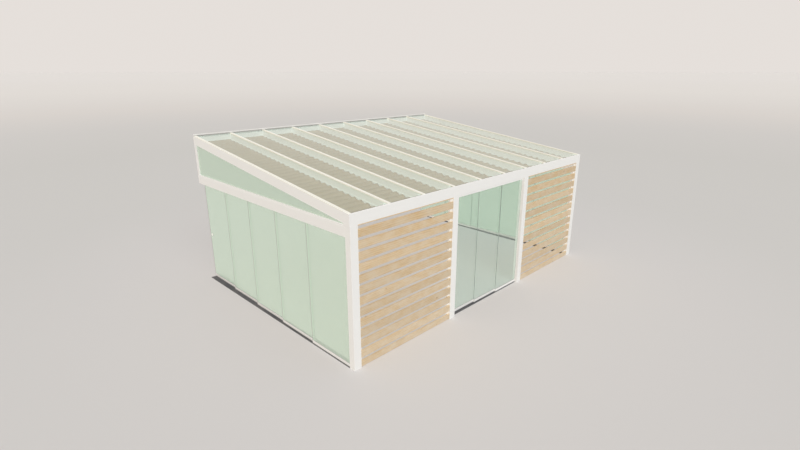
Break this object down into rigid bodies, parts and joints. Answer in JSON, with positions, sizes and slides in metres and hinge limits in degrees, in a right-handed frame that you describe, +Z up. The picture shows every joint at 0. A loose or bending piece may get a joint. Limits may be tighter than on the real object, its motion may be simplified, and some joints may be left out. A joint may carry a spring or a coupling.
{
  "type": "lean-to patio cover with sliding glass walls",
  "caption": "Wall-mounted aluminium patio cover: sloping glass roof with fabric shades under the glass, slatted wood front bays, and sliding glass panels at the sides and front.",
  "frame": {"origin": "middle of the wall profile's flat back face, where it is bolted to the house wall", "axes": "+X runs right along the front as seen from the garden, +Y points into the house wall, +Z is up; the ground is at Z = -3.0536 m"},
  "size_m": [7.012, 4.96, 3.1606],
  "materials": {
    "frame": "satin white powder coat",
    "roof_glass": "clear glass with a green tint",
    "wall_glass": "pale green tinted glass",
    "oak_slats": "light oak, matt oiled",
    "track": "anthracite, matt",
    "shade_fabric": "taupe awning fabric",
    "seal": "matt black",
    "pull": "satin white"
  },
  "bodies": {
    "root": {"wall_profile": "frame", "wall_seal": "seal", "gutter": "frame", "gutter_end_plates": "frame", "corner_post_left": "frame", "corner_post_right": "frame", "middle_post_left": "frame", "middle_post_right": "frame", "rafters": "frame", "rafter_caps": "frame", "roof_glass": "roof_glass", "shade_rails": "frame", "shades": "shade_fabric", "slat_rails": "frame", "front_track": "track", "front_guide": "frame", "side_beam_left": "frame", "gable_glass_left": "wall_glass", "gable_post_left": "frame", "slats_left": "oak_slats", "side_track_left": "track", "side_guide_left": "frame", "side_beam_right": "frame", "gable_glass_right": "wall_glass", "gable_post_right": "frame", "slats_right": "oak_slats", "side_track_right": "track", "side_guide_right": "frame"},
    "door_left_1": {"door_left_1_glass": "wall_glass", "door_left_1_rail": "frame"},
    "door_left_2": {"door_left_2_glass": "wall_glass", "door_left_2_rail": "frame"},
    "door_left_3": {"door_left_3_glass": "wall_glass", "door_left_3_rail": "frame"},
    "door_left_4": {"door_left_4_glass": "wall_glass", "door_left_4_rail": "frame"},
    "door_left_5": {"door_left_5_glass": "wall_glass", "door_left_5_rail": "frame", "door_pull_left": "pull"},
    "door_right_1": {"door_right_1_glass": "wall_glass", "door_right_1_rail": "frame"},
    "door_right_2": {"door_right_2_glass": "wall_glass", "door_right_2_rail": "frame"},
    "door_right_3": {"door_right_3_glass": "wall_glass", "door_right_3_rail": "frame"},
    "door_right_4": {"door_right_4_glass": "wall_glass", "door_right_4_rail": "frame"},
    "door_right_5": {"door_right_5_glass": "wall_glass", "door_right_5_rail": "frame", "door_pull_right": "pull"},
    "door_front_1": {"door_front_1_glass": "wall_glass", "door_front_1_rail": "frame"},
    "door_front_2": {"door_front_2_glass": "wall_glass", "door_front_2_rail": "frame"},
    "door_front_3": {"door_front_3_glass": "wall_glass", "door_front_3_rail": "frame"}
  },
  "joints": [
    {"name": "door_left_1_slide", "type": "slide", "parent": "root", "child": "door_left_1", "axis": [0, 1, 0], "range_m": [0, 3.844]},
    {"name": "door_left_2_slide", "type": "slide", "parent": "root", "child": "door_left_2", "axis": [0, 1, 0], "range_m": [-0.961, 2.883]},
    {"name": "door_left_3_slide", "type": "slide", "parent": "root", "child": "door_left_3", "axis": [0, 1, 0], "range_m": [-1.922, 1.922]},
    {"name": "door_left_4_slide", "type": "slide", "parent": "root", "child": "door_left_4", "axis": [0, 1, 0], "range_m": [-2.883, 0.961]},
    {"name": "door_left_5_slide", "type": "slide", "parent": "root", "child": "door_left_5", "axis": [0, 1, 0], "range_m": [-3.844, 0]},
    {"name": "door_right_1_slide", "type": "slide", "parent": "root", "child": "door_right_1", "axis": [0, 1, 0], "range_m": [0, 3.844]},
    {"name": "door_right_2_slide", "type": "slide", "parent": "root", "child": "door_right_2", "axis": [0, 1, 0], "range_m": [-0.961, 2.883]},
    {"name": "door_right_3_slide", "type": "slide", "parent": "root", "child": "door_right_3", "axis": [0, 1, 0], "range_m": [-1.922, 1.922]},
    {"name": "door_right_4_slide", "type": "slide", "parent": "root", "child": "door_right_4", "axis": [0, 1, 0], "range_m": [-2.883, 0.961]},
    {"name": "door_right_5_slide", "type": "slide", "parent": "root", "child": "door_right_5", "axis": [0, 1, 0], "range_m": [-3.844, 0]},
    {"name": "door_front_1_slide", "type": "slide", "parent": "root", "child": "door_front_1", "axis": [1, 0, 0], "range_m": [0, 1.40267]},
    {"name": "door_front_2_slide", "type": "slide", "parent": "root", "child": "door_front_2", "axis": [1, 0, 0], "range_m": [-0.70133, 0.70133]},
    {"name": "door_front_3_slide", "type": "slide", "parent": "root", "child": "door_front_3", "axis": [1, 0, 0], "range_m": [-1.40267, 0]}
  ]
}
